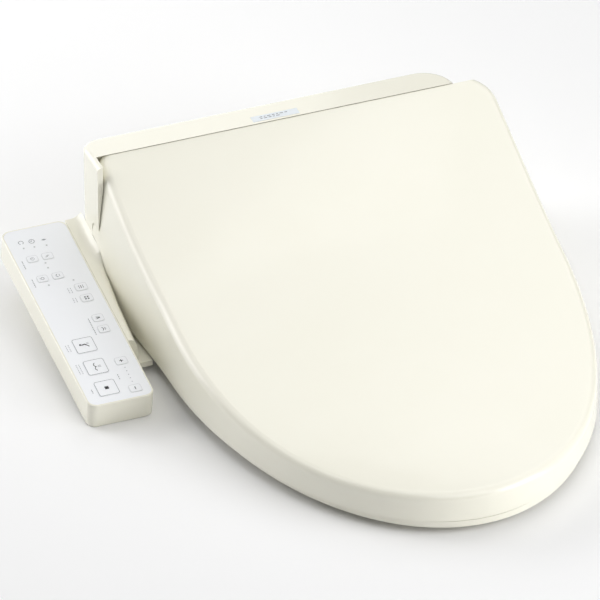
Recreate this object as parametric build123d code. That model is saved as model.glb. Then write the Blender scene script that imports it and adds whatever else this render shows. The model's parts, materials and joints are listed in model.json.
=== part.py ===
"""Electric bidet seat with a side control arm: every sub-part as its own solid, in millimetres.

Frame: +Z up, -Y towards the front of the seat, -X towards the control arm. The origin is midway
between the two mounting bolts, on the underside of the base plate.
"""
import math
import os

from build123d import *

os.makedirs("parts", exist_ok=True)

# ---- overall ---------------------------------------------------------------------------------
BOLT_SPACING = 140.0
REAR_Y = 67.0                 # rear wall, behind the bolt line
FRONT_Y = -468.0              # front tip of seat and lid
HALF_WIDTH = 194.4            # lid and seat at their widest
WIDEST_Y = -155.0             # where the straight sides meet the round front

# ---- lid -------------------------------------------------------------------------------------
WALL = 3.0
LID_REAR_Y = 35.0
LID_REAR_Z = 147.2
LID_FRONT_Z = 40.0
LID_REAR_SLOPE = 0.448        # the top falls this steeply at its rear edge, and flattens to the front
SKIRT_Z = 11.2                # lower edge of the skirt round the front
SKIRT_REAR_Z = 66.0           # and where it has climbed to at the case
SKIRT_CLIMB = [(-165, 11.2), (-110, 12.6), (-64, 18.0), (-18, 37.0), (15, 62.5)]
SKIRT_REAR_Y = 33.0
DOME = 6.0                    # the top falls this much from its middle to its sides, at the front
EDGE_RADIUS = 8.0
LEFT_CORNER, RIGHT_CORNER = 16.0, 30.0
FLARE_LEFT, FLARE_RIGHT = 0.1147, 0.035   # outward lean of the rear skirts
LOFT_TOP = 160.0

# ---- hinge, shared by seat and lid -------------------------------------------------------------
HINGE_Y, HINGE_Z = 18.0, 126.0
PIN_R = 4.0
RUN_GAP = 0.05
BOSS_R = 8.5
POST_IN, POST_OUT = 128.0, 171.0
EAR_IN, EAR_OUT = 173.0, 187.0
KNUCKLE_R = math.dist((HINGE_Y, HINGE_Z), (LID_REAR_Y, LID_REAR_Z))
TROUGH_R = KNUCKLE_R + 0.5
LID_GAP, LID_SWEEP = 0.8, 197.6   # clearance at the lid's corner, and the reach of its rear when it opens
LIP_END = 16.0                # the lid's rear lip ends this many degrees above the hinge

# ---- case ------------------------------------------------------------------------------------
CASE_WALL = 2.5
CASE_LEFT, CASE_RIGHT = -203.0, 197.0
CROWN_RIGHT = 160.0           # the raised rear strip stops short of the lid's right corner
CROWN_Z = 148.0
STEP_Z, STEP_Y = 112.0, 62.0
BLOCK_Y = 34.0                # front of the full-width rear block
WING_Y = 16.0                 # front of the left wall, beside the lid's corner
CORE_HALF, CORE_FRONT_Y = 171.0, -60.0
CASE_FOOT_Z = 4.0
FLOOR_Z, FLOOR_T = 9.0, 3.0
CHEEK_IN = 189.0
NECK_LOW_Z, NECK_FRONT_Y = 9.0, -106.0

# ---- seat ------------------------------------------------------------------------------------
SEAT_REAR_Y = -66.0
SEAT_HALF_WIDTH = 188.4       # the lid overhangs the seat at the sides
SEAT_BASE_Z, SEAT_SEAM_Z, SEAT_FLANGE_Z, SEAT_TOP_Z = 4.0, 6.8, 10.6, 30.0
BOWL_HALF, BOWL_LENGTH, BOWL_Y = 104.0, 150.0, -262.0
ARCH_HALF, ARCH_Z = 24.0, 23.0

# ---- control arm -----------------------------------------------------------------------------
ARM_X, ARM_W, ARM_L, ARM_T = -251.2, 65.0, 252.0, 27.0
ARM_REAR_Z = 65.0
ARM_TILT = 9.8                # degrees, down to the front
ARM_SPLIT = 24.0              # depth of the casing; a plate set into it closes the bottom
SHEET_T = 0.6
KEY_TRAVEL = 0.8
KEY_PROUD = 0.3
KEY_GAP = 0.12

# ---- spray nozzle ------------------------------------------------------------------------------
WAND_R, WAND_L, WAND_TILT = 7.0, 125.0, 27.0
WAND_TIP_Y, WAND_TIP_Z = -52.0, 20.0


# ---- helpers ---------------------------------------------------------------------------------
def save(shape, name):
    """Write one named sub-part."""
    shape = shape.clean() if hasattr(shape, "clean") else shape
    shape.label = name
    export_step(shape, f"parts/{name}.step")


def block(x, y, z):
    """A box between pairs of coordinates."""
    size = [hi - lo for lo, hi in (x, y, z)]
    centre = [(hi + lo) / 2 for lo, hi in (x, y, z)]
    return Pos(*centre) * Box(*size)


def rod(radius, x0, x1, y, z):
    """A cylinder along X."""
    return Pos((x0 + x1) / 2, y, z) * Rot(0, 90, 0) * Cylinder(radius, abs(x1 - x0))


def post(radius, x, y, z0, z1):
    """A cylinder along Z."""
    return Pos(x, y, (z0 + z1) / 2) * Cylinder(radius, z1 - z0)


def prism(edges, x0, x1):
    """A closed outline in the YZ plane, extruded along X."""
    face = Face(Wire(edges))
    return Pos(x0, 0, 0) * extrude(face, x1 - x0, dir=(1, 0, 0))


def yz_prism(points, x0, x1):
    """A polygon of (y, z) points, extruded along X."""
    corners = [(0, y, z) for y, z in points]
    return prism(Polyline(*corners, close=True).edges(), x0, x1)


def plan(edges, z0, z1):
    """A closed outline in the XY plane, extruded upwards."""
    return Pos(0, 0, z0) * extrude(Face(Wire(edges)), z1 - z0, dir=(0, 0, 1))


def mirrored(shape):
    """The shape and its mirror image across X = 0."""
    return shape + mirror(shape, about=Plane.YZ)


# ---- lid outline -------------------------------------------------------------------------------
LID_SPAN = FRONT_Y - LID_REAR_Y
LID_CURVE = (LID_FRONT_Z - LID_REAR_Z - LID_REAR_SLOPE * LID_SPAN) / LID_SPAN**2


def lid_height(y, drop=0.0):
    """Height of the lid's top at y: a parabola, less a drop."""
    u = y - LID_REAR_Y
    return LID_REAR_Z + LID_REAR_SLOPE * u + LID_CURVE * u * u - drop


def crown_face(drop=0.0):
    """The lid's domed top surface, lowered by drop: flat across at the rear, domed to the front."""
    y0, y1, half = LID_REAR_Y, -500.0, 230.0
    slope = LID_REAR_SLOPE
    z_mid = lid_height(y0) + slope * (y1 - y0) / 2
    rows = [(y0, lid_height(y0), 0.0), ((y0 + y1) / 2, z_mid, 1.0), (y1, lid_height(y1), 1.0)]
    fall = DOME * (half / HALF_WIDTH) ** 2
    return Face.make_bezier_surface([[(x, y, z - drop - sign * fall * t)
                                      for x, sign in ((-half, 1), (0, -1), (half, 1))]
                                     for y, z, t in rows])


def below_crown(drop, x0=-230, x1=230, y0=LID_REAR_Y, y1=-500.0, floor=-10.0):
    """Everything under the lid's top surface, lowered by drop."""
    return extrude(crown_face(drop), 240, dir=(0, 0, -1)) & block((x0, x1), (y1, y0), (floor, 200))


def hinge_point(radius, degrees):
    """A point on a circle round the hinge, as (0, y, z)."""
    a = math.radians(degrees)
    return (0, HINGE_Y + radius * math.cos(a), HINGE_Z + radius * math.sin(a))


def front_arc(inset, z, left, half=HALF_WIDTH):
    """A quarter of the ellipse round the front, from the side to the tip."""
    rx, ry = half - inset, WIDEST_Y - FRONT_Y - inset
    return EllipticalCenterArc((0, WIDEST_Y, z), rx, ry, 180 if left else 270, arc_size=90)


def lid_ring(inset, z, rear_y):
    """The lid's plan outline at height z, with its rear skirts leaning out below the top."""
    side = HALF_WIDTH - inset
    left = side + FLARE_LEFT * (LID_REAR_Z - z)
    right = side + FLARE_RIGHT * (LID_REAR_Z - z)
    cl, cr = LEFT_CORNER - inset, RIGHT_CORNER - inset
    ahead = (0, -1, 0)
    return Wire([
        Line((right - cr, rear_y, z), (-left + cl, rear_y, z)),
        CenterArc((-left + cl, rear_y - cl, z), cl, 90, 90),
        Spline((-left, rear_y - cl, z), (-side, WIDEST_Y, z), tangents=[ahead, ahead]),
        front_arc(inset, z, left=True),
        front_arc(inset, z, left=False),
        Spline((side, WIDEST_Y, z), (right, rear_y - cr, z), tangents=[(0, 1, 0), (0, 1, 0)]),
        CenterArc((right - cr, rear_y - cr, z), cr, 0, 90),
    ])


def lid_column(inset):
    """The lid's sides as an upright, slightly flared column."""
    rear = HINGE_Y + KNUCKLE_R + 1.0
    rings = [lid_ring(inset, z, rear) for z in (0.0, LOFT_TOP)]
    return Solid.make_loft(rings, ruled=True)


def skirt_line(drop=0.0):
    """The skirt's lower edge in side view, from the front to the case."""
    climb = [(0, y, z - drop) for y, z in SKIRT_CLIMB] + [(0, SKIRT_REAR_Y, SKIRT_REAR_Z - drop)]
    return [Line((0, -500, SKIRT_Z - drop), climb[0]), Spline(*climb, tangents=[(0, 1, 0), (0, 1, 0.15)])]


def knuckle_z(y):
    """Height of the underside of the knuckle at y."""
    return HINGE_Z - math.sqrt(KNUCKLE_R**2 - (y - HINGE_Y) ** 2)


def lid_outside():
    """The lid before it is hollowed: the column under the dome, with a round knuckle at the rear."""
    edges = skirt_line() + list(Polyline(
        (0, SKIRT_REAR_Y, SKIRT_REAR_Z), (0, SKIRT_REAR_Y, knuckle_z(SKIRT_REAR_Y)),
        (0, LID_REAR_Y, knuckle_z(LID_REAR_Y)), (0, LID_REAR_Y, 200), (0, -500, 200),
        (0, -500, SKIRT_Z)).edges())
    front = prism(edges, -230, 230) & below_crown(0)
    knuckle = rod(KNUCKLE_R, -230, 230, HINGE_Y, HINGE_Z)
    knuckle &= block((-230, 230), (LID_REAR_Y, 60), (90, 200))
    return lid_column(0) & (front + knuckle)


def lid_inside():
    """The lid's hollow: it leaves a short lip behind the hinge."""
    inner_r = KNUCKLE_R - WALL - 1.3
    drop = WALL / math.cos(math.atan(LID_REAR_SLOPE))
    meet_y = LID_REAR_Y - 2.0
    rim_z = hinge_point(inner_r, LIP_END)[2]
    lip = rod(inner_r, -230, 230, HINGE_Y, HINGE_Z) & block((-230, 230), (meet_y, 60), (rim_z - 5, 200))
    hollow = below_crown(drop, y0=meet_y) + lip + block((-230, 230), (meet_y, 60), (-10, rim_z))
    return lid_column(WALL) & hollow


def round_top(solid, radius):
    """Rounds the edges of the domed top, except at the rear."""
    top = max(solid.faces(), key=lambda f: f.area)
    return fillet([e for e in top.edges() if e.center().Y < SKIRT_REAR_Y - 1], radius)


def make_lid():
    lid = round_top(lid_outside(), EDGE_RADIUS) - round_top(lid_inside(), EDGE_RADIUS - WALL)
    notch = block((POST_IN - 1, POST_OUT + 1), (26, 60), (90, LID_REAR_Z - 4.2))
    ear_way = block((EAR_IN - 1.5, EAR_OUT + 1.5), (26, 60), (60, STEP_Z))
    lid -= mirrored(notch) + mirrored(ear_way)
    for side, reach in ((-1, 195.4), (1, 193.6)):
        boss = rod(BOSS_R, side * (EAR_OUT + 1), side * reach, HINGE_Y, HINGE_Z)
        lid += boss
        lid -= rod(PIN_R + RUN_GAP, side * EAR_OUT, side * 192.0, HINGE_Y, HINGE_Z)
    return lid


# ---- seat ------------------------------------------------------------------------------------
def seat_plan(inset, z0, z1):
    """The seat's outer outline, extruded."""
    side, rear, c = SEAT_HALF_WIDTH - inset, SEAT_REAR_Y - inset, max(24.0 - inset, 4.0)
    edges = [
        Line((side - c, rear), (-side + c, rear)),
        CenterArc((-side + c, rear - c), c, 90, 90),
        Line((-side, rear - c), (-side, WIDEST_Y)),
        front_arc(inset, 0, True, SEAT_HALF_WIDTH),
        front_arc(inset, 0, False, SEAT_HALF_WIDTH),
        Line((side, WIDEST_Y), (side, rear - c)),
        CenterArc((side - c, rear - c), c, 0, 90),
    ]
    return plan(edges, z0, z1)


def bowl_hole(grow, z0, z1):
    """The opening in the seat, extruded."""
    ring = Ellipse(BOWL_LENGTH + grow, BOWL_HALF + grow)
    return extrude(Pos(0, BOWL_Y, z0) * Rot(0, 0, 90) * ring, z1 - z0)


def nozzle_arch(grow=0.0):
    """The passage under the seat's rear bridge for the spray wand."""
    return block((-ARCH_HALF - grow, ARCH_HALF + grow), (-130, -50), (-5, ARCH_Z + grow))


def seat_ear():
    """The arm that climbs from the seat ring to the hinge, on the +X side."""
    upper = [(HINGE_Y, HINGE_Z + 8), (-4, 125.8), (-40, 108), (-84, 60), (-104, 30), (-108, 12)]
    lower = [(-68, 12), (-58, 22), (-34, 66), (-8, 104), (-4.5, 116.5), (4, 118.5),
             (HINGE_Y, HINGE_Z - 8)]
    web = yz_prism(upper + lower, EAR_IN, EAR_OUT)
    ear = web + rod(BOSS_R, EAR_IN, EAR_OUT, HINGE_Y, HINGE_Z)
    return ear - rod(PIN_R + RUN_GAP, EAR_IN - 1, EAR_OUT + 1, HINGE_Y, HINGE_Z)


def make_seat():
    inset = 4.6
    dome = seat_plan(inset, SEAT_SEAM_Z, SEAT_TOP_Z) - bowl_hole(0, 0, 40)
    rim = [e for e in dome.edges() if e.center().Z > SEAT_TOP_Z - 0.1]
    dome = fillet(rim, 8.0)
    flange = seat_plan(0, SEAT_SEAM_Z + 0.2, SEAT_FLANGE_Z) - bowl_hole(0, 0, 40)
    hollow = seat_plan(inset + WALL, 0, SEAT_TOP_Z - 7.0) - bowl_hole(WALL, -1, 40)
    hollow -= nozzle_arch(WALL)
    upper = dome + flange - hollow - block((-250, 250), (-500, 0), (0, SEAT_SEAM_Z + 0.2))
    upper = upper - nozzle_arch() + mirrored(seat_ear())
    lower = seat_plan(0.6, SEAT_BASE_Z, SEAT_SEAM_Z) - bowl_hole(0.6, 0, 40) - nozzle_arch()
    heater = seat_plan(inset + 26, SEAT_TOP_Z - 7.8, SEAT_TOP_Z - 7.0) - bowl_hole(12, 0, 40)
    heater -= nozzle_arch(WALL + 2)
    return upper, lower, heater


def make_bumpers():
    """Rubber buffers: under the seat, and between lid and seat."""
    seat_pads = [post(8, sx * x, y, 0, SEAT_BASE_Z) for x, y in ((140, -140), (106, -370))
                 for sx in (-1, 1)]
    lid_pads = [post(6, sx * x, y, SEAT_TOP_Z + 0.1, 60) & below_crown(WALL + 0.3)
                for x, y in ((138, -300), (72, -425)) for sx in (-1, 1)]
    return Compound(seat_pads), Compound(lid_pads)


# ---- case ------------------------------------------------------------------------------------
def rear_block(i, z0, z1):
    """The rear of the case, inset by i, with the raised strip's two unlike corners."""
    left, right, rear, front = CASE_LEFT + i, CROWN_RIGHT - i, REAR_Y - i, BLOCK_Y
    rl, rr = 15.0 - i, 32.0 - i
    edges = [
        Line((left, front), (right, front)),
        Line((right, front), (right, rear - rr)),
        CenterArc((right - rr, rear - rr), rr, 0, 90),
        Line((right - rr, rear), (left + rl, rear)),
        CenterArc((left + rl, rear - rl), rl, 90, 90),
        Line((left, rear - rl), (left, front)),
    ]
    return plan(edges, z0, z1)


def core(i):
    """The part of the case under the lid, inset by i."""
    gap = 5.6
    back = BLOCK_Y + 2 * i
    shape = below_crown(gap + i, -CORE_HALF + i, CORE_HALF - i, BLOCK_Y, CORE_FRONT_Y + i, -5)
    return shape + block((-CORE_HALF + i, CORE_HALF - i), (BLOCK_Y - 1, back + 0.1), (-5, 90))


def neck_section(y, x_in, z_in, hollow):
    """One cross-section of the neck: level with the arm's top, meeting its inner wall at z_in."""
    x_arm = ARM_X + ARM_W / 2
    z_arm = ARM_REAR_Z + (y - REAR_Y) * math.tan(math.radians(ARM_TILT)) - 0.3
    width = x_in - x_arm
    shoulder = (x_in - 0.3 * width, y, z_arm) if hollow else (x_in, y, z_arm)
    top = Bezier((x_in, y, z_in), shoulder, (x_in - 0.6 * width, y, z_arm), (x_arm, y, z_arm))
    low = Polyline((x_arm, y, z_arm), (x_arm, y, NECK_LOW_Z), (x_in, y, NECK_LOW_Z), (x_in, y, z_in))
    return Wire([top] + list(low.edges()))


def neck():
    """The fairing that carries the arm: it climbs to the case at the rear, and rolls under in front."""
    sections = [neck_section(REAR_Y - 1, CASE_LEFT, 70, True),
                neck_section(26, CASE_LEFT, 64.5, True),
                neck_section(12, CASE_LEFT - 0.2, 60, True),
                neck_section(-2, CASE_LEFT - 0.4, 50, True),
                neck_section(-18, CASE_LEFT - 1.0, 38, False),
                neck_section(-50, CASE_LEFT - 3.0, 24, False),
                neck_section(NECK_FRONT_Y, CASE_LEFT - 6.0, 14, False)]
    flange = block((ARM_X + ARM_W / 2, -196), (NECK_FRONT_Y - 3, BLOCK_Y), (CASE_FOOT_Z, 9.5))
    return Solid.make_loft(sections, ruled=True) + flange


def cheek(x0, x1):
    """The case's low side panel, whose top edge follows the lid's skirt."""
    floor = Polyline((0, BLOCK_Y, SKIRT_REAR_Z), (0, BLOCK_Y, CASE_FOOT_Z), (0, -500, CASE_FOOT_Z),
                     (0, -500, SKIRT_Z - 1.5)).edges()
    top = skirt_line(1.5) + [Line((0, SKIRT_REAR_Y, SKIRT_REAR_Z - 1.5), (0, BLOCK_Y, SKIRT_REAR_Z))]
    return prism(top + list(floor), x0, x1) & block((x0, x1), (-63, BLOCK_Y), (0, 200))


def case_bosses():
    """Screw columns inside the case."""
    front = [(s * (CORE_HALF - 7), CORE_FRONT_Y + 7) for s in (-1, 1)]
    return front + [(CASE_LEFT + 7, 50), (118, REAR_Y - 7)]


def make_case_upper():
    wing = block((CASE_LEFT, -165), (WING_Y, BLOCK_Y), (CASE_FOOT_Z, CROWN_Z))
    tall = rear_block(0, CASE_FOOT_Z, CROWN_Z) + wing
    rim = [e for e in tall.edges() if e.center().Z > CROWN_Z - 0.1
           and (e.center().Y > BLOCK_Y + 0.1 or e.center().X < CASE_LEFT + 0.1)]
    tall = fillet(rim, 5.0)
    beside = block((-250, 0), (0, BLOCK_Y), (-1, 200)) + rod(TROUGH_R, -250, 0, HINGE_Y, HINGE_Z)
    tall -= lid_column(-LID_GAP) & beside
    step = block((100, CASE_RIGHT), (BLOCK_Y, STEP_Y), (CASE_FOOT_Z, STEP_Z))
    step = fillet(step.edges().filter_by(Axis.Z).group_by(Axis.X)[-1].group_by(Axis.Y)[-1], 14)
    trough = rod(TROUGH_R, -LID_SWEEP, 250, HINGE_Y, HINGE_Z)
    outer = tall + step + (core(0) & block((-200, 200), (-100, 80), (CASE_FOOT_Z, 200)))
    outer -= trough
    inner_trough = rod(TROUGH_R + CASE_WALL, -250, 250, HINGE_Y, HINGE_Z)
    w = CASE_WALL
    hollow = rear_block(w, -5, CROWN_Z - w) - block((-250, 250), (0, BLOCK_Y + w), (-10, 200))
    hollow += block((102, CASE_RIGHT - w), (BLOCK_Y + w, STEP_Y - w), (-5, STEP_Z - w))
    hollow = hollow + core(w) - inner_trough
    shell = outer - hollow
    skirt = (lid_column(-LID_GAP) & block((-250, 0), (-62, BLOCK_Y), (0, 200))) - cheek(-250, 0)
    shell += cheek(CASE_LEFT, -CHEEK_IN) + cheek(CHEEK_IN, CASE_RIGHT) + (neck() - skirt)
    for side in (-1, 1):
        x0, x1 = sorted((side * POST_IN, side * POST_OUT))
        shell += rod(BOSS_R, x0, x1, HINGE_Y, HINGE_Z)
        shell += block((x0, x1), (HINGE_Y - BOSS_R, HINGE_Y + BOSS_R), (94, HINGE_Z))
        shell -= rod(PIN_R, side * 150, side * 180, HINGE_Y, HINGE_Z)
        shell -= rod(6.5, side * (POST_IN + 4), side * 160, HINGE_Y, HINGE_Z)
    for x, y in case_bosses():
        shell += post(5, x, y, FLOOR_Z + FLOOR_T, 60)
        shell -= post(1.8, x, y, 0, 40)
    shell -= block((-14, 14), (-65, -50), (0, 32))                       # wand window
    shell -= block((-112, 112), (50, 80), (0, FLOOR_Z + 0.6))             # base plate passes
    shell -= Pos(150, REAR_Y, 34) * Rot(90, 0, 0) * Cylinder(21, 30)      # water inlet pocket
    shell -= Pos(95, REAR_Y, 28) * Rot(90, 0, 0) * Cylinder(6, 30)        # cord gland
    shell -= block((190, 210), (40, 54), (22, 34))                       # release button
    return shell


def make_case_lower():
    z0, z1 = FLOOR_Z, FLOOR_Z + FLOOR_T
    g = CASE_WALL + 0.2
    floor = rear_block(g, z0, z1) - block((-250, 250), (0, BLOCK_Y + g), (-10, 200))
    floor += block((100, CASE_RIGHT - g), (BLOCK_Y + g, STEP_Y - g), (z0, z1))
    floor += block((-CORE_HALF + g, CORE_HALF - g), (CORE_FRONT_Y + g, BLOCK_Y + g + 1), (z0, z1))
    floor -= block((-20, 20), (-70, -30), (0, 20))
    for x, y in case_bosses():
        floor -= post(2.2, x, y, 0, 20)
    return floor


def make_case_screws():
    return Compound([post(1.8, x, y, FLOOR_Z, 26) + post(3.6, x, y, FLOOR_Z - 2, FLOOR_Z)
                     for x, y in case_bosses()])


def make_base_plate():
    plate = block((-105, 105), (-38, 46), (0, 8))
    plate = fillet(plate.edges().filter_by(Axis.Z), 12)
    plate = chamfer(plate.faces().sort_by(Axis.Z)[-1].edges(), 1.5)
    for sx in (-1, 1):
        plate -= post(14, sx * BOLT_SPACING / 2, 0, -1, 9)
        bush = post(14, sx * BOLT_SPACING / 2, 0, 0, 8) - post(4.5, sx * BOLT_SPACING / 2, 0, -1, 9)
        yield bush
    yield plate


def make_feet():
    return Compound([post(7, sx * x, y, 0, FLOOR_Z) for x, y in ((140, -40), (150, 48))
                     for sx in (-1, 1)])


# ---- inside the case ---------------------------------------------------------------------------
def wand_place(along, side=0.0, up=0.0):
    """A place on the wand's axis, a distance behind its tip; its Z axis points back up the wand."""
    a = math.radians(WAND_TILT)
    back = (0, math.cos(a), math.sin(a))
    at = (0, WAND_TIP_Y + along * back[1], WAND_TIP_Z + along * back[2])
    return Plane(origin=at, x_dir=(1, 0, 0), z_dir=back).location * Pos(side, -up, 0)


def make_nozzle():
    tube = wand_place(14 + (WAND_L - 14) / 2) * Cylinder(WAND_R, WAND_L - 14)
    tip = wand_place(7) * Cylinder(WAND_R, 14)
    down = wand_place(7)
    tip -= down * Pos(0, 0, 1) * Rot(90, 0, 0) * Pos(0, 0, WAND_R) * Cylinder(1.0, 6)
    tip -= down * Pos(0, 0, -3.5) * Rot(90, 0, 0) * Pos(0, 0, WAND_R) * Cylinder(0.7, 6)
    guide = wand_place(66) * (Box(26, 22, 92) - Cylinder(WAND_R + RUN_GAP, 100))
    motor = wand_place(84) * Pos(13 + 11, 0, 0) * Rot(0, 90, 0) * Cylinder(10, 22)
    return tube, tip, guide, motor


def make_fan():
    x, y, z0, z1 = 128.0, -18.0, 16.0, 58.0
    housing = block((x - 30, x + 30), (y - 30, y + 30), (z0, z1))
    housing = fillet(housing.edges().filter_by(Axis.Z), 8)
    housing -= post(26, x, y, z0 + 3, z1 + 1)
    housing += post(2.5, x, y, z0 + 2, z1 - 4)
    wheel = post(24, x, y, z0 + 6, z0 + 9) + post(7, x, y, z0 + 6, z1 - 8)
    blade = Pos(15, 0, 0) * Box(18, 1.4, z1 - z0 - 16)
    for k in range(8):
        wheel += Pos(x, y, (z0 + z1) / 2 - 0.5) * Rot(0, 0, 45 * k) * blade
    wheel -= post(2.5 + RUN_GAP, x, y, z0, z1)
    return housing, wheel


def make_water():
    tank = block((-160, -40), (-48, 28), (14, 84))
    tank = fillet(tank.edges(), 9)
    tank += post(9, -70, -10, 80, 92)
    valve = block((42, 98), (-46, 0), (14, 52))
    valve = fillet(valve.edges().filter_by(Axis.Z), 5)
    valve += rod(9, 46, 90, -22, 58)
    inlet = Pos(150, 52, 34) * Rot(90, 0, 0) * Cylinder(10.45, 26)
    inlet += Pos(150, 39, 34) * Rot(90, 0, 0) * Cylinder(15, 4)
    inlet -= Pos(150, 60, 34) * Rot(90, 0, 0) * Cylinder(6.5, 30)
    return tank, valve, inlet


# ---- control arm -----------------------------------------------------------------------------
def arm_plane():
    """The panel's plane: origin at its rear edge's middle, local Y running up to the rear."""
    a = math.radians(ARM_TILT)
    plane = Plane(origin=(ARM_X, REAR_Y, ARM_REAR_Z), x_dir=(1, 0, 0),
                  z_dir=(0, -math.sin(a), math.cos(a)))
    return plane.location


def arm_slab(inset, z0, z1, radius=9.0):
    """A rounded slab in the arm's own frame."""
    r = radius - inset
    slab = Pos(0, -ARM_L / 2, z0) * extrude(
        RectangleRounded(ARM_W - 2 * inset, ARM_L - 2 * inset, r), z1 - z0)
    return slab


KEYS = {
    "key_stop": (-8.4, -231.0, 20.0, 20.0),
    "key_rear_wash": (-8.4, -201.0, 20.0, 20.0),
    "key_front_wash": (-8.4, -170.0, 20.0, 20.0),
    "key_plus": (16.8, -200.0, 12.0, 10.0),
    "key_minus": (16.8, -239.0, 12.0, 10.0),
    "key_soft": (16.2, -138.0, 11.0, 10.0),
    "key_move": (16.2, -154.0, 11.0, 10.0),
    "key_dry": (15.5, -93.0, 12.0, 10.0),
    "key_deodorise": (15.5, -109.0, 12.0, 10.0),
    "key_water_temperature": (-15.0, -72.0, 11.0, 9.0),
    "key_seat_temperature": (0.0, -72.0, 11.0, 9.0),
    "key_timer": (-15.0, -43.5, 11.0, 9.0),
    "key_power_saver": (0.0, -43.5, 11.0, 9.0),
}
LEDS = [(-17.8, -27), (-7.5, -28), (4.2, -29), (-5.0, -52), (-5.0, -59), (12.0, -82), (-12.3, -82)]


def key_shape(key, z0, z1, grow=0.0):
    """A key's rounded-rectangle body, in the arm's frame."""
    x, y, w, h = KEYS[key]
    face = RectangleRounded(w + 2 * grow, h + 2 * grow, 2.2 + grow)
    return Pos(x, y, z0) * extrude(face, z1 - z0)


def make_arm():
    place = arm_plane()
    sheet_in = 1.6
    board_z = -9.5
    upper = arm_slab(0, -ARM_T, 0)
    upper = fillet(upper.faces().sort_by(Axis.Z)[-1].edges(), 1.2)
    upper = fillet(upper.faces().sort_by(Axis.Z)[0].edges(), 2.0)
    upper -= arm_slab(sheet_in, -SHEET_T, 1, 8.0 + sheet_in)
    upper -= arm_slab(2.5, -ARM_T - 1, -3.0)
    lower = arm_slab(2.7, -ARM_T + 0.4, -ARM_SPLIT)
    sheet = arm_slab(sheet_in + 0.1, -SHEET_T, 0, 8.0 + sheet_in)
    board = arm_slab(4.5, board_z, board_z + 1.6)
    screws = []
    tip_z = -11.0
    for x, y in ((-26.2, -11), (26.2, -11), (-26.2, -ARM_L + 11), (26.2, -ARM_L + 11)):
        upper += Pos(x, y, (-8.2 - ARM_SPLIT) / 2) * Cylinder(4.0, ARM_SPLIT - 8.2)
        upper -= Pos(x, y, -ARM_SPLIT) * Cylinder(1.5, 2 * (ARM_SPLIT + tip_z))
        lower -= Pos(x, y, -ARM_T) * Cylinder(2.6, 3)
        lower -= Pos(x, y, -ARM_T) * Cylinder(1.6, 20)
        board -= Pos(x, y, board_z) * Cylinder(4.4, 8)
        head_z = -ARM_T + 1.0
        shank = Pos(x, y, (head_z + tip_z) / 2) * Cylinder(1.5, tip_z - head_z)
        screws.append(shank + Pos(x, y, head_z) * Cylinder(2.4, 0.9))
    keys = {}
    for key in KEYS:
        upper -= key_shape(key, -6, 1, KEY_GAP)
        sheet -= key_shape(key, -2, 1, KEY_GAP)
        keys[key] = place * key_shape(key, board_z + 1.6 + KEY_TRAVEL + 0.2, KEY_PROUD)
    leds = []
    for x, y in LEDS:
        upper -= Pos(x, y, -2) * Cylinder(1.0, 8)
        sheet -= Pos(x, y, 0) * Cylinder(1.0, 4)
        leds.append(place * Pos(x, y, -1.9) * Cylinder(0.95, 3.8))
    names = {"arm_case_upper": upper, "arm_case_lower": lower, "panel_sheet": sheet,
             "panel_board": board}
    out = {name: place * shape for name, shape in names.items()}
    out["arm_screws"] = Compound([place * s for s in screws])
    out["status_lamps"] = Compound(leds)
    out.update(keys)
    return out


# ---- build -----------------------------------------------------------------------------------
def main():
    seat_upper, seat_lower, heater = make_seat()
    seat_pads, lid_pads = make_bumpers()
    bush_a, bush_b, plate = make_base_plate()
    tube, tip, guide, motor = make_nozzle()
    housing, wheel = make_fan()
    tank, valve, inlet = make_water()
    parts = {
        "lid_shell": make_lid(),
        "lid_bumpers": lid_pads,
        "seat_upper": seat_upper,
        "seat_lower": seat_lower,
        "seat_heater": heater,
        "seat_bumpers": seat_pads,
        "case_upper": make_case_upper(),
        "case_lower": make_case_lower(),
        "case_screws": make_case_screws(),
        "case_feet": make_feet(),
        "base_plate": plate,
        "base_plate_bushings": Compound([bush_a, bush_b]),
        "release_button": block((186, CASE_RIGHT + 1), (40.3, 53.7), (22.3, 33.7)),
        "name_plate": block((-40, 6), (38, 47), (CROWN_Z, CROWN_Z + 0.4)),
        "nozzle_tube": tube,
        "nozzle_tip": tip,
        "nozzle_guide": guide,
        "nozzle_motor": motor,
        "fan_housing": housing,
        "fan_wheel": wheel,
        "hot_water_tank": tank,
        "valve_unit": valve,
        "water_inlet": inlet,
        "cord_gland": (Pos(95, REAR_Y - 5, 28) * Rot(90, 0, 0) * (Cylinder(5.95, 9) - Cylinder(3.6, 20))),
        "main_board": block((-180, -60), (50, 51.6), (20, 92)),
    }
    for side, label in ((-1, "left"), (1, "right")):
        parts[f"hinge_pin_{label}"] = rod(PIN_R, side * 160, side * 191.5, HINGE_Y, HINGE_Z)
        damper = rod(6.5, side * (POST_IN + 4), side * 160, HINGE_Y, HINGE_Z)
        parts[f"damper_{label}"] = damper
    parts.update(make_arm())
    for name, shape in parts.items():
        save(shape, name)


main()
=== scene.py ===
"""Looks of the electric bidet seat: materials, panel prints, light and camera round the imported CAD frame."""
import json
import math

import bmesh
import bpy
from mathutils import Matrix, Vector


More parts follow.
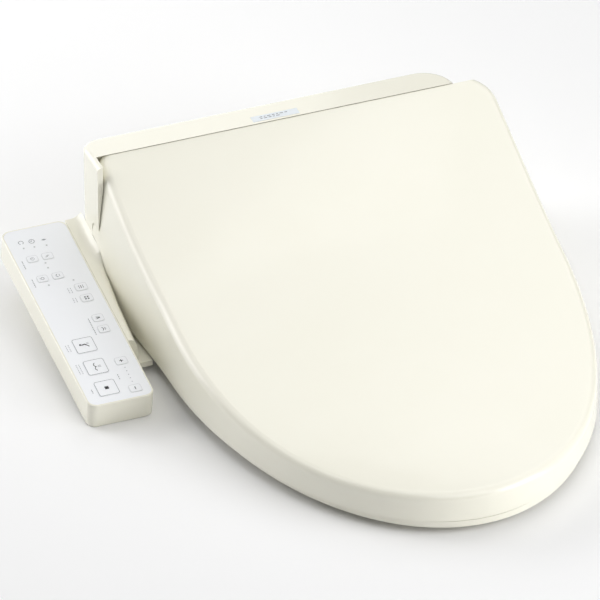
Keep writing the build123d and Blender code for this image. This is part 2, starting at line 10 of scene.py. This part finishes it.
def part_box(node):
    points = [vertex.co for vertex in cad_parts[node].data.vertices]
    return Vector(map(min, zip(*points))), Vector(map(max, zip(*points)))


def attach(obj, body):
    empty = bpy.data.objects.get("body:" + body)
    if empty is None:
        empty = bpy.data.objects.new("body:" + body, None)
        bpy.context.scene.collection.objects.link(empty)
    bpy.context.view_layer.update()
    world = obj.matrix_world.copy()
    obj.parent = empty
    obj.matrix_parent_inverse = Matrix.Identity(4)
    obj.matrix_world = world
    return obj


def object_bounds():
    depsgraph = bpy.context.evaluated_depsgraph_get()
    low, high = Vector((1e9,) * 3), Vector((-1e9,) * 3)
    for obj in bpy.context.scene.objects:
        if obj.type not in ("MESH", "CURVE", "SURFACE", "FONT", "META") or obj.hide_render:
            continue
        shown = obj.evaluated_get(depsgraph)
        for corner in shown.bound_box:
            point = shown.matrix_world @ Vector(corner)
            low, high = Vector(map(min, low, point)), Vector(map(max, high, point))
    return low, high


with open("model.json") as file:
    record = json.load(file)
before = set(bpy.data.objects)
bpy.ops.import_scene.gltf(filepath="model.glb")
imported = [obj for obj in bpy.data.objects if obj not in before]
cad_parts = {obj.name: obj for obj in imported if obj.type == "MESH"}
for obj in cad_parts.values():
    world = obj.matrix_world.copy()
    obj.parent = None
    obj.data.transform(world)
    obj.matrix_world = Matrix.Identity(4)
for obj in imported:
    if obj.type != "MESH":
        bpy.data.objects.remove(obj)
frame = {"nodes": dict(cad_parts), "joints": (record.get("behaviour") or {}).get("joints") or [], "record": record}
NODES, RECORD = frame["nodes"], frame["record"]
CAD_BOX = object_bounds()
MM = 0.001

# ---- camera ------------------------------------------------------------------------------------
CAM_AZ, CAM_EL, CAM_ROLL = -19.995, 33.044, -0.736     # degrees
CAM_DISTANCE = 14.344
CAM_TARGET = Vector((-0.05933, -0.13564, 0.060))
FOCAL_PX, FRAME_PX, SENSOR = 15456.0, 600.0, 36.0

# ---- colours (linear) --------------------------------------------------------------------------
IVORY = (0.930, 0.912, 0.800)
IVORY_SEAT = (0.930, 0.912, 0.805)
FILM = (0.930, 0.945, 0.970)
PRINT_DARK = (0.015, 0.015, 0.018)
PRINT_GREY = (0.30, 0.31, 0.33)
PRINT_PALE = (0.50, 0.51, 0.54)
PRINT_FAINT = (0.66, 0.67, 0.69)


# ---- node helpers ------------------------------------------------------------------------------
class Shade:
    """A Principled material, with short calls for the procedural nodes that feed it."""

    def __init__(self, name, colour, rough, **sockets):
        self.mat = bpy.data.materials.new(name)
        self.mat.use_nodes = True
        self.tree = self.mat.node_tree
        self.bsdf = self.tree.nodes["Principled BSDF"]
        self.bsdf.inputs["Base Color"].default_value = (*colour, 1)
        self.bsdf.inputs["Roughness"].default_value = rough
        for key, value in sockets.items():
            self.bsdf.inputs[key.replace("_", " ")].default_value = value
        self.colour = colour
        self.rough = rough
        self.coords = self.add("ShaderNodeTexCoord").outputs["Object"]
        self.last_bump = None

    def add(self, kind, **props):
        node = self.tree.nodes.new(kind)
        for key, value in props.items():
            setattr(node, key, value)
        return node

    def link(self, a, b):
        self.tree.links.new(a, b)

    def stretched(self, scale):
        """Object coordinates scaled differently along each axis."""
        node = self.add("ShaderNodeMapping")
        self.link(self.coords, node.inputs["Vector"])
        node.inputs["Scale"].default_value = scale
        return node.outputs["Vector"]

    def noise(self, scale, detail=2.0, rough=0.5, coords=None):
        node = self.add("ShaderNodeTexNoise")
        self.link(coords or self.coords, node.inputs["Vector"])
        node.inputs["Scale"].default_value = scale
        node.inputs["Detail"].default_value = detail
        node.inputs["Roughness"].default_value = rough
        return node.outputs["Fac"]

    def cells(self, scale, feature="F1"):
        node = self.add("ShaderNodeTexVoronoi", feature=feature)
        self.link(self.coords, node.inputs["Vector"])
        node.inputs["Scale"].default_value = scale
        return node.outputs["Distance"]

    def ramp(self, fac, stops):
        """A colour ramp over (position, colour) stops."""
        node = self.add("ShaderNodeValToRGB")
        self.link(fac, node.inputs["Fac"])
        marks = node.color_ramp.elements
        while len(marks) < len(stops):
            marks.new(0.5)
        for mark, (at, colour) in zip(marks, stops):
            mark.position, mark.color = at, (*colour, 1)
        return node.outputs["Color"]

    def spread(self, fac, low, high, fro=0.3, to=0.7):
        """fac rescaled to low..high."""
        node = self.add("ShaderNodeMapRange")
        self.link(fac, node.inputs["Value"])
        for key, value in zip(("From Min", "From Max", "To Min", "To Max"), (fro, to, low, high)):
            node.inputs[key].default_value = value
        return node.outputs["Result"]

    def mottle(self, scale, amount, tint=(1, 1, 1), detail=3.0):
        """A faint colour variation round the base colour."""
        low = [c * (1 - amount) * t for c, t in zip(self.colour, tint)]
        high = [min(1.0, c * (1 + amount)) for c in self.colour]
        fac = self.noise(scale, detail)
        self.link(self.ramp(fac, [(0.3, low), (0.7, high)]), self.bsdf.inputs["Base Color"])

    def uneven(self, scale, amount, coords=None):
        """A faint variation of the roughness."""
        fac = self.noise(scale, 3.0, 0.6, coords)
        rough = self.spread(fac, self.rough - amount, self.rough + amount)
        self.link(rough, self.bsdf.inputs["Roughness"])

    def bump(self, height, distance_mm, strength=1.0):
        """Bump from a height signal; calls chain."""
        node = self.add("ShaderNodeBump")
        node.inputs["Distance"].default_value = distance_mm * MM
        node.inputs["Strength"].default_value = strength
        self.link(height, node.inputs["Height"])
        if self.last_bump:
            self.link(self.last_bump, node.inputs["Normal"])
        self.last_bump = node.outputs["Normal"]
        self.link(self.last_bump, self.bsdf.inputs["Normal"])


# ---- materials ---------------------------------------------------------------------------------
def ivory(name, colour, rough):
    """Glossy moulded plastic: a hint of orange peel and a very faint mottling."""
    s = Shade(name, colour, rough, IOR=1.49, Coat_Weight=0.25, Coat_Roughness=0.05)
    s.mottle(9.0, 0.006, (1, 1, 0.99))
    s.uneven(24.0, 0.03)
    s.bump(s.noise(260.0, 2.0), 0.012)
    s.bump(s.noise(2400.0, 1.0), 0.002)
    return s.mat


def film(name, colour):
    """Satin printed film: a fine even emboss over the white."""
    s = Shade(name, colour, 0.34, IOR=1.5)
    s.mottle(14.0, 0.005)
    s.uneven(60.0, 0.03)
    s.bump(s.cells(3200.0), 0.004)
    return s.mat


def plate():
    """The blank name plate: satin, with the faint grain of brushed film along its length."""
    s = Shade("plate_satin", (0.84, 0.89, 0.92), 0.30, Metallic=0.15)
    s.mottle(40.0, 0.02)
    s.bump(s.noise(900.0, 2.0, coords=s.stretched((0.05, 1, 1))), 0.006)
    return s.mat


def rubber():
    s = Shade("rubber_grey", (0.22, 0.22, 0.215), 0.62, Specular_IOR_Level=0.35)
    s.mottle(70.0, 0.12)
    s.uneven(120.0, 0.08)
    s.bump(s.noise(1500.0, 3.0), 0.03)
    return s.mat


def grey_plastic():
    """Textured moulding grain, with faint flow marks."""
    s = Shade("plastic_grey", (0.34, 0.34, 0.325), 0.48)
    s.mottle(18.0, 0.05)
    s.uneven(90.0, 0.07)
    s.bump(s.noise(40.0, 2.0, coords=s.stretched((1, 0.3, 1))), 0.03)
    s.bump(s.cells(1300.0), 0.02)
    return s.mat


def button_plastic():
    """The release button: satin, with grip ribs across its face."""
    s = Shade("plastic_button", (0.80, 0.785, 0.69), 0.36)
    s.mottle(30.0, 0.02)
    wave = s.add("ShaderNodeTexWave", wave_type="BANDS", bands_direction="Y")
    s.link(s.coords, wave.inputs["Vector"])
    wave.inputs["Scale"].default_value = 160.0
    s.bump(wave.outputs["Fac"], 0.25)
    s.bump(s.noise(1400.0), 0.01)
    return s.mat


def white_wand():
    s = Shade("plastic_wand", (0.86, 0.87, 0.86), 0.2, Coat_Weight=0.3, Coat_Roughness=0.08)
    s.mottle(60.0, 0.01)
    s.uneven(90.0, 0.04)
    s.bump(s.noise(700.0), 0.006)
    return s.mat


def steel():
    """Plated steel with fine turning marks round the axis."""
    s = Shade("steel_plated", (0.60, 0.60, 0.58), 0.28, Metallic=1.0)
    s.mottle(200.0, 0.08)
    s.uneven(300.0, 0.08)
    s.bump(s.noise(2500.0, 2.0, coords=s.stretched((1, 0.06, 0.06))), 0.01)
    return s.mat


def brass():
    """Machined brass; the spout carries the union's thread."""
    s = Shade("brass_machined", (0.74, 0.55, 0.26), 0.24, Metallic=1.0)
    s.mottle(120.0, 0.07, (1, 0.96, 0.9))
    s.uneven(200.0, 0.07)
    wave = s.add("ShaderNodeTexWave", wave_type="BANDS", bands_direction="Y", wave_profile="TRI")
    s.link(s.coords, wave.inputs["Vector"])
    wave.inputs["Scale"].default_value = 173.0
    s.bump(wave.outputs["Fac"], 0.6)
    return s.mat


def tank_plastic():
    s = Shade("plastic_tank", (0.74, 0.75, 0.72), 0.42, Transmission_Weight=0.15)
    s.mottle(35.0, 0.04)
    s.uneven(50.0, 0.06)
    s.bump(s.noise(500.0, 3.0), 0.02)
    return s.mat


def circuit_board():
    """Green solder mask with copper runs showing through."""
    s = Shade("board_green", (0.02, 0.13, 0.06), 0.3, Coat_Weight=0.3)
    runs = s.add("ShaderNodeTexBrick", offset=0.5)
    s.link(s.coords, runs.inputs["Vector"])
    for key, value in (("Scale", 120.0), ("Mortar Size", 0.012), ("Brick Width", 0.8), ("Row Height", 0.25)):
        runs.inputs[key].default_value = value
    runs.inputs["Color1"].default_value = (0.015, 0.12, 0.05, 1)
    runs.inputs["Color2"].default_value = (0.02, 0.14, 0.07, 1)
    runs.inputs["Mortar"].default_value = (0.07, 0.30, 0.13, 1)
    s.link(runs.outputs["Color"], s.bsdf.inputs["Base Color"])
    s.bump(s.noise(900.0), 0.01)
    return s.mat


def heater_foil():
    """Foil with the element's loops pressed into it."""
    s = Shade("foil_heater", (0.72, 0.72, 0.71), 0.32, Metallic=1.0)
    s.mottle(50.0, 0.06)
    wave = s.add("ShaderNodeTexWave", wave_type="RINGS", rings_direction="Z")
    s.link(s.coords, wave.inputs["Vector"])
    wave.inputs["Scale"].default_value = 18.0
    s.bump(wave.outputs["Fac"], 0.3)
    return s.mat


def lamp_lens():
    """A small clear lens over an unlit lamp."""
    s = Shade("lens_clear", (0.66, 0.68, 0.68), 0.18, Coat_Weight=0.6)
    s.mottle(900.0, 0.06)
    s.bump(s.cells(2200.0), 0.01)
    return s.mat


def ink(name, colour):
    """Screen print: matt, with the slight unevenness of a thin ink layer."""
    s = Shade(name, colour, 0.45)
    s.mottle(700.0, 0.06)
    s.bump(s.noise(3000.0), 0.003)
    return s.mat


BY_SLOT = {
    "ivory_shell": ivory("ivory_shell_gloss", IVORY, 0.20),
    "ivory_seat": ivory("ivory_seat_gloss", IVORY_SEAT, 0.24),
    "panel_film": film("film_panel", FILM),
    "key_cap": film("film_key", FILM),
    "lamp_lens": lamp_lens(),
    "name_plate": plate(),
    "grey_rubber": rubber(),
    "grey_plastic": grey_plastic(),
    "button_plastic": button_plastic(),
    "white_wand": white_wand(),
    "steel": steel(),
    "brass": brass(),
    "tank_plastic": tank_plastic(),
    "circuit_board": circuit_board(),
    "heater_foil": heater_foil(),
}
INKS = {"dark": ink("ink_dark", PRINT_DARK), "grey": ink("ink_grey", PRINT_GREY),
        "pale": ink("ink_pale", PRINT_PALE), "faint": ink("ink_faint", PRINT_FAINT)}


def dress_nodes():
    """Gives every CAD node its slot's material."""
    for row in RECORD["subparts"]:
        obj = NODES[row["node"]]
        if not obj.material_slots:
            obj.data.materials.append(None)
        for slot in obj.material_slots:
            slot.link = "OBJECT"
            slot.material = BY_SLOT[row["material_slot"]]


# ---- panel prints ------------------------------------------------------------------------------
PRESS = Vector(next(j for j in frame["joints"] if j["name"] == "key_stop_press")["axis"]).normalized()
PANEL_Z = -PRESS
PANEL_X = Vector((1, 0, 0))
PANEL_Y = PANEL_Z.cross(PANEL_X)
PRINT_LIFT = 0.03 * MM        # a print stands this far off the surface under it
INK_T = 0.03 * MM
CAPTION_PITCH, CAPTION_ROW, CAPTION_STROKE = 2.3, 2.6, 0.75    # mm
CAPTION_HALVES = (0.16, 0.24, 0.20)                            # half lengths, in pitches


def extent(node, axis):
    """Lowest and highest reach of a node along an axis."""
    reach = [v.co.dot(axis) for v in NODES[node].data.vertices]
    return min(reach), max(reach)


def panel_origin():
    """The middle of the panel's rear edge, on the film."""
    x = sum(extent("arm_case_upper", PANEL_X)) / 2
    y = extent("arm_case_upper", PANEL_Y)[1]
    z = extent("panel_sheet", PANEL_Z)[1]
    return PANEL_X * x + PANEL_Y * y + PANEL_Z * z


ORIGIN = panel_origin()


def key_centre(node):
    """A key's middle in panel millimetres, and the height of its face over the film."""
    u = (sum(extent(node, PANEL_X)) / 2 - ORIGIN.dot(PANEL_X)) / MM
    v = (sum(extent(node, PANEL_Y)) / 2 - ORIGIN.dot(PANEL_Y)) / MM
    return u, v, extent(node, PANEL_Z)[1] - ORIGIN.dot(PANEL_Z)


class Print:
    """Flat ink shapes in panel millimetres, made into one thin mesh."""

    def __init__(self, name, body, height=0.0, at=(0, 0)):
        self.name, self.body, self.height, self.at = name, body, height, at
        self.bm = bmesh.new()
        self.inks = []

    def patch(self, points, ink_name="dark"):
        """A filled convex outline."""
        if ink_name not in self.inks:
            self.inks.append(ink_name)
        low = [self.place(p, PRINT_LIFT) for p in points]
        high = [self.place(p, PRINT_LIFT + INK_T) for p in points]
        top = [self.bm.verts.new(p) for p in high]
        foot = [self.bm.verts.new(p) for p in low]
        faces = [self.bm.faces.new(top)]
        for k in range(len(points)):
            j = (k + 1) % len(points)
            faces.append(self.bm.faces.new((foot[k], foot[j], top[j], top[k])))
        for face in faces:
            face.material_index = self.inks.index(ink_name)

    def place(self, point, lift):
        u, v = (a + b for a, b in zip(point, self.at))
        return ORIGIN + PANEL_X * (u * MM) + PANEL_Y * (v * MM) + PANEL_Z * (self.height + lift)

    def dot(self, x, y, r, ink_name="dark", sides=16):
        self.patch([(x + r * math.cos(a), y + r * math.sin(a))
                    for a in (2 * math.pi * k / sides for k in range(sides))], ink_name)

    def line(self, points, width, ink_name="dark"):
        """A stroke along a row of points, with round joints."""
        for (x0, y0), (x1, y1) in zip(points, points[1:]):
            d = math.hypot(x1 - x0, y1 - y0) or 1.0
            nx, ny = -(y1 - y0) / d * width / 2, (x1 - x0) / d * width / 2
            corners = [(x0 - nx, y0 - ny), (x1 - nx, y1 - ny), (x1 + nx, y1 + ny), (x0 + nx, y0 + ny)]
            self.patch(corners, ink_name)
        for x, y in points:
            self.dot(x, y, width / 2, ink_name, 10)

    def arc(self, x, y, r, a0, a1, width, ink_name="dark", steps=14):
        turns = [math.radians(a0 + (a1 - a0) * k / steps) for k in range(steps + 1)]
        self.line([(x + r * math.cos(a), y + r * math.sin(a)) for a in turns], width, ink_name)

    def frame_line(self, w, h, r, width, ink_name="grey"):
        """A rounded outline round the print's own centre."""
        points = []
        for cx, cy, start in ((w / 2 - r, h / 2 - r, 0), (-w / 2 + r, h / 2 - r, 90),
                              (-w / 2 + r, -h / 2 + r, 180), (w / 2 - r, -h / 2 + r, 270)):
            points += [(cx + r * math.cos(math.radians(start + 15 * k)),
                        cy + r * math.sin(math.radians(start + 15 * k))) for k in range(7)]
        self.line(points + points[:1], width, ink_name)

    def dashes(self, u, v, length, rows=1, ink_name="grey"):
        """A caption's place: short dashes in a row along the panel."""
        count = max(2, round(length / CAPTION_PITCH))
        pitch = length / count
        for row in range(rows):
            for k in range(count):
                y = v - length / 2 + pitch * (k + 0.5)
                half = CAPTION_HALVES[(k + row) % 3] * pitch
                at = u + CAPTION_ROW * row
                self.line([(at, y - half), (at, y + half)], CAPTION_STROKE, ink_name)

    def finish(self):
        mesh = bpy.data.meshes.new(self.name)
        self.bm.normal_update()
        self.bm.to_mesh(mesh)
        self.bm.free()
        for name in self.inks:
            mesh.materials.append(INKS[name])
        obj = bpy.data.objects.new(self.name, mesh)
        bpy.context.scene.collection.objects.link(obj)
        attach(obj, self.body)
        return obj


def glyph_stop(p):
    """A square."""
    p.patch([(-1.9, -1.9), (1.9, -1.9), (1.9, 1.9), (-1.9, 1.9)])


def glyph_rear_wash(p):
    """Two curves over three jets."""
    p.arc(1.4, 2.6, 2.7, 120, 250, 0.7)
    p.arc(1.4, -2.6, 2.7, 110, 240, 0.7)
    for y in (-1.3, 0, 1.3):
        p.line([(2.0, y * 0.4), (4.8, y)], 0.35, "grey")


def glyph_front_wash(p):
    """A seated figure over three jets."""
    p.dot(-4.0, 1.2, 1.1)
    p.line([(-2.6, 0.6), (0.4, 1.0), (1.8, -0.4)], 1.3)
    p.line([(1.8, -0.4), (3.6, -2.4)], 0.9)
    for y in (0.6, 1.8, 3.0):
        p.line([(2.4, y * 0.5 + 0.8), (4.6, y)], 0.3, "grey")


def glyph_plus(p):
    """A plus sign."""
    p.line([(-1.6, 0), (1.6, 0)], 0.75)
    p.line([(0, -1.6), (0, 1.6)], 0.75)


def glyph_minus(p):
    """A minus sign."""
    p.line([(0, -1.6), (0, 1.6)], 0.75)


def glyph_soft(p):
    """A gentle spray."""
    for y in (-1.5, 0.0, 1.5):
        p.line([(1.6, y * 0.3), (-1.8, y)], 0.55, "dark" if y <= 0 else "grey")


def glyph_move(p):
    """Two arrowheads."""
    p.line([(-1.2, -2.0), (0.2, 0.0), (-1.2, 2.0)], 0.6)
    p.line([(0.9, -1.8), (2.1, 0.0), (0.9, 1.8)], 0.5, "grey")


def glyph_dry(p):
    """Three waves."""
    for x in (-1.9, 0.0, 1.9):
        p.line([(x - 0.4, -1.9), (x + 0.4, -0.7), (x - 0.4, 0.7), (x + 0.4, 1.9)], 0.5,
               "dark" if x == 0 else "grey")


def glyph_fan(p):
    """Four blades."""
    for k in range(4):
        a = math.radians(45 + 90 * k)
        c, s = math.cos(a), math.sin(a)
        p.patch([(0.5 * c, 0.5 * s), (2.0 * c + 0.95 * s, 2.0 * s - 0.95 * c), (3.0 * c, 3.0 * s),
                 (2.0 * c - 0.95 * s, 2.0 * s + 0.95 * c)])


def glyph_warm_water(p):
    """A drop on a line."""
    p.arc(0, 0, 1.5, 0, 360, 0.5, "grey")
    p.line([(-2.6, 0.6), (-1.6, 0)], 0.5, "grey")


def glyph_warm_seat(p):
    """A curve on a base."""
    p.arc(0.3, 0, 1.9, 100, 260, 0.6, "grey")
    p.line([(1.6, -1.4), (1.6, 1.4)], 0.5, "grey")


def glyph_clock(p):
    """A clock face."""
    p.arc(0, 0, 1.8, 0, 360, 0.4, "grey")
    p.line([(-1.1, 0), (0, 0), (0, 0.9)], 0.4, "grey")


def glyph_saver(p):
    """Two leaves."""
    p.arc(0.6, -1.2, 2.0, 60, 150, 0.45, "grey")
    p.arc(-1.2, 0.9, 2.0, 240, 330, 0.45, "grey")


GLYPHS = {
    "key_stop": glyph_stop, "key_rear_wash": glyph_rear_wash, "key_front_wash": glyph_front_wash,
    "key_plus": glyph_plus, "key_minus": glyph_minus, "key_soft": glyph_soft, "key_move": glyph_move,
    "key_dry": glyph_dry, "key_deodorise": glyph_fan, "key_water_temperature": glyph_warm_water,
    "key_seat_temperature": glyph_warm_seat, "key_timer": glyph_clock, "key_power_saver": glyph_saver,
}
MAIN_KEYS = ("key_stop", "key_rear_wash", "key_front_wash")


def key_prints():
    """The glyph and the thin outline on each key."""
    for key, draw in GLYPHS.items():
        u, v, top = key_centre(key)
        p = Print("print_" + key, key + "_body", top, (u, v))
        w = (extent(key, PANEL_X)[1] - extent(key, PANEL_X)[0]) / MM - 0.7
        h = (extent(key, PANEL_Y)[1] - extent(key, PANEL_Y)[0]) / MM - 0.7
        p.frame_line(w, h, 2.0, 0.45 if key in MAIN_KEYS else 0.35, "grey" if key in MAIN_KEYS else "faint")
        draw(p)
        p.finish()


def panel_prints():
    """Everything printed on the film itself: dashes for captions, lamp marks and the level row."""
    p = Print("print_panel", "case")
    for key, du, dv, length, rows in (
            ("key_stop", -14.6, -1, 6, 1), ("key_rear_wash", -17.0, 1, 14, 2),
            ("key_front_wash", -17.4, 0, 10, 2), ("key_soft", -9.2, -10, 24, 1), ("key_dry", -12.8, -2, 8, 2),
            ("key_deodorise", -12.8, 0, 7, 2), ("key_water_temperature", -10, -4, 12, 1),
            ("key_timer", -10.5, -6, 12, 1), ("key_plus", -9.5, -20, 8, 1)):
        u, v, _ = key_centre(key)
        p.dashes(u + du, v + dv, length, rows, "grey" if rows == 1 else "pale")
    u, v, _ = key_centre("key_plus")
    for k in range(5):
        p.dot(u + 0.4, v - 9.5 - 5.0 * k, 0.6, "pale")
    lamps = sorted(lamp_places(), key=lambda q: -q[1])[:3]
    for (lu, lv), mark in zip(sorted(lamps), ("power", "clock", "leaf")):
        x, y = lu, lv + 8.0
        if mark == "power":
            p.arc(x, y, 2.3, -60, 240, 0.6, "grey")
        elif mark == "clock":
            p.arc(x, y, 2.6, 0, 360, 0.6, "grey")
            p.line([(x - 1.2, y), (x, y), (x, y + 1.1)], 0.6, "grey")
        else:
            p.patch([(x - 2.6, y), (x, y - 1.1), (x + 2.6, y), (x, y + 1.1)], "grey")
    p.finish()


def lamp_places():
    """The middle of each status lamp, in panel millimetres."""
    groups = []
    for v in NODES["status_lamps"].data.vertices:
        q = ((v.co - ORIGIN).dot(PANEL_X) / MM, (v.co - ORIGIN).dot(PANEL_Y) / MM)
        near = next((g for g in groups if math.dist(g[0], q) < 2.2), None)
        if near is None:
            groups.append([q])
        else:
            near.append(q)
    return [(sum(q[0] for q in g) / len(g), sum(q[1] for q in g) / len(g)) for g in groups]


PLATE_ROWS = (0.0016, -0.0012)               # metres, as are the next three
PLATE_WIDTHS = (0.0028, 0.0020, 0.0034)
PLATE_HALF, PLATE_GAP, PLATE_INSET = 0.0006, 0.0014, 0.008


def plate_prints():
    """Plain grey dashes on the name plate."""
    low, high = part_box("name_plate")
    bm = bmesh.new()
    y0, z = (low.y + high.y) / 2, high.z + PRINT_LIFT
    for row, dy in enumerate(PLATE_ROWS):
        x = low.x + PLATE_INSET
        for k in range(7 - 2 * row):
            w = PLATE_WIDTHS[(k + row) % 3]
            corners = [(x, y0 + dy - PLATE_HALF, z), (x + w, y0 + dy - PLATE_HALF, z),
                       (x + w, y0 + dy + PLATE_HALF, z), (x, y0 + dy + PLATE_HALF, z)]
            bm.faces.new([bm.verts.new(c) for c in corners])
            x += w + PLATE_GAP
    mesh = bpy.data.meshes.new("print_name_plate")
    bm.to_mesh(mesh)
    bm.free()
    mesh.materials.append(INKS["grey"])
    obj = bpy.data.objects.new("print_name_plate", mesh)
    bpy.context.scene.collection.objects.link(obj)
    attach(obj, "case")


# ---- floor, light and camera -------------------------------------------------------------------
FLOOR_HALF = 30.0             # metres


def make_floor():
    """A plain pale floor at the object's lowest point."""
    bm = bmesh.new()
    bmesh.ops.create_grid(bm, x_segments=1, y_segments=1, size=FLOOR_HALF)
    mesh = bpy.data.meshes.new("floor")
    bm.to_mesh(mesh)
    bm.free()
    floor = bpy.data.objects.new("floor", mesh)
    floor.location = (0, 0, CAD_BOX[0].z)
    bpy.context.scene.collection.objects.link(floor)
    s = Shade("floor_pale", (0.94, 0.94, 0.94), 0.9, Specular_IOR_Level=0.1)
    s.mottle(2.0, 0.004)
    mesh.materials.append(s.mat)


def softbox(name, azimuth, elevation, distance, size, power, centre):
    """A square area light that looks at the object. Azimuth 0 stands at -Y, 90 at +X."""
    a, e = math.radians(azimuth), math.radians(elevation)
    out = Vector((math.sin(a) * math.cos(e), -math.cos(a) * math.cos(e), math.sin(e)))
    light = bpy.data.lights.new(name, "AREA")
    light.shape, light.size, light.energy = "SQUARE", size, power
    obj = bpy.data.objects.new(name, light)
    obj.location = centre + out * distance
    obj.rotation_mode = "QUATERNION"
    obj.rotation_quaternion = (-out).to_track_quat("-Z", "Y")
    bpy.context.scene.collection.objects.link(obj)


SOFTBOXES = (                    # name, azimuth, elevation, distance, size, power
    ("top", 0, 90, 2.2, 1.8, 10.8),
    ("front_right_low", 45, 18, 2.2, 1.4, 28.8),
    ("front_right_high", 45, 50, 2.2, 1.4, 3.4),
    ("front_high", 0, 50, 2.2, 1.4, 12.0),
    ("rear_left_low", -135, 18, 2.2, 1.4, 27.6),
    ("rear_left_high", -135, 50, 2.2, 1.4, 6.0),
    ("rear_low", 180, 18, 2.2, 1.4, 10.2),
    ("rear_right_high", 135, 50, 2.2, 1.4, 9.4),
)
AMBIENT = 0.0


def make_light():
    centre = (CAD_BOX[0] + CAD_BOX[1]) / 2
    for name, az, el, distance, size, power in SOFTBOXES:
        softbox(name, az, el, distance, size, power, centre)
    world = bpy.data.worlds.new("studio")
    world.use_nodes = True
    world.node_tree.nodes["Background"].inputs["Color"].default_value = (1, 1, 1, 1)
    world.node_tree.nodes["Background"].inputs["Strength"].default_value = AMBIENT
    bpy.context.scene.world = world


def make_camera():
    """The camera, at the measured angle and distance."""
    a, e, r = (math.radians(t) for t in (CAM_AZ, CAM_EL, CAM_ROLL))
    back = Vector((math.sin(a) * math.cos(e), -math.cos(a) * math.cos(e), math.sin(e)))
    right = Vector((math.cos(a), math.sin(a), 0))
    up = back.cross(right)
    x_axis = right * math.cos(r) + up * math.sin(r)
    y_axis = back.cross(x_axis)
    data = bpy.data.cameras.new("camera")
    data.sensor_width, data.lens = SENSOR, FOCAL_PX / FRAME_PX * SENSOR
    data.clip_start, data.clip_end = 0.5, 80.0
    cam = bpy.data.objects.new("camera", data)
    turn = Matrix((x_axis, y_axis, back)).transposed().to_4x4()
    cam.matrix_world = Matrix.Translation(CAM_TARGET + back * CAM_DISTANCE) @ turn
    bpy.context.scene.collection.objects.link(cam)
    bpy.context.scene.camera = cam


make_camera()
dress_nodes()
key_prints()
panel_prints()
plate_prints()
make_floor()
make_light()
bpy.context.scene.view_settings.view_transform = "Standard"
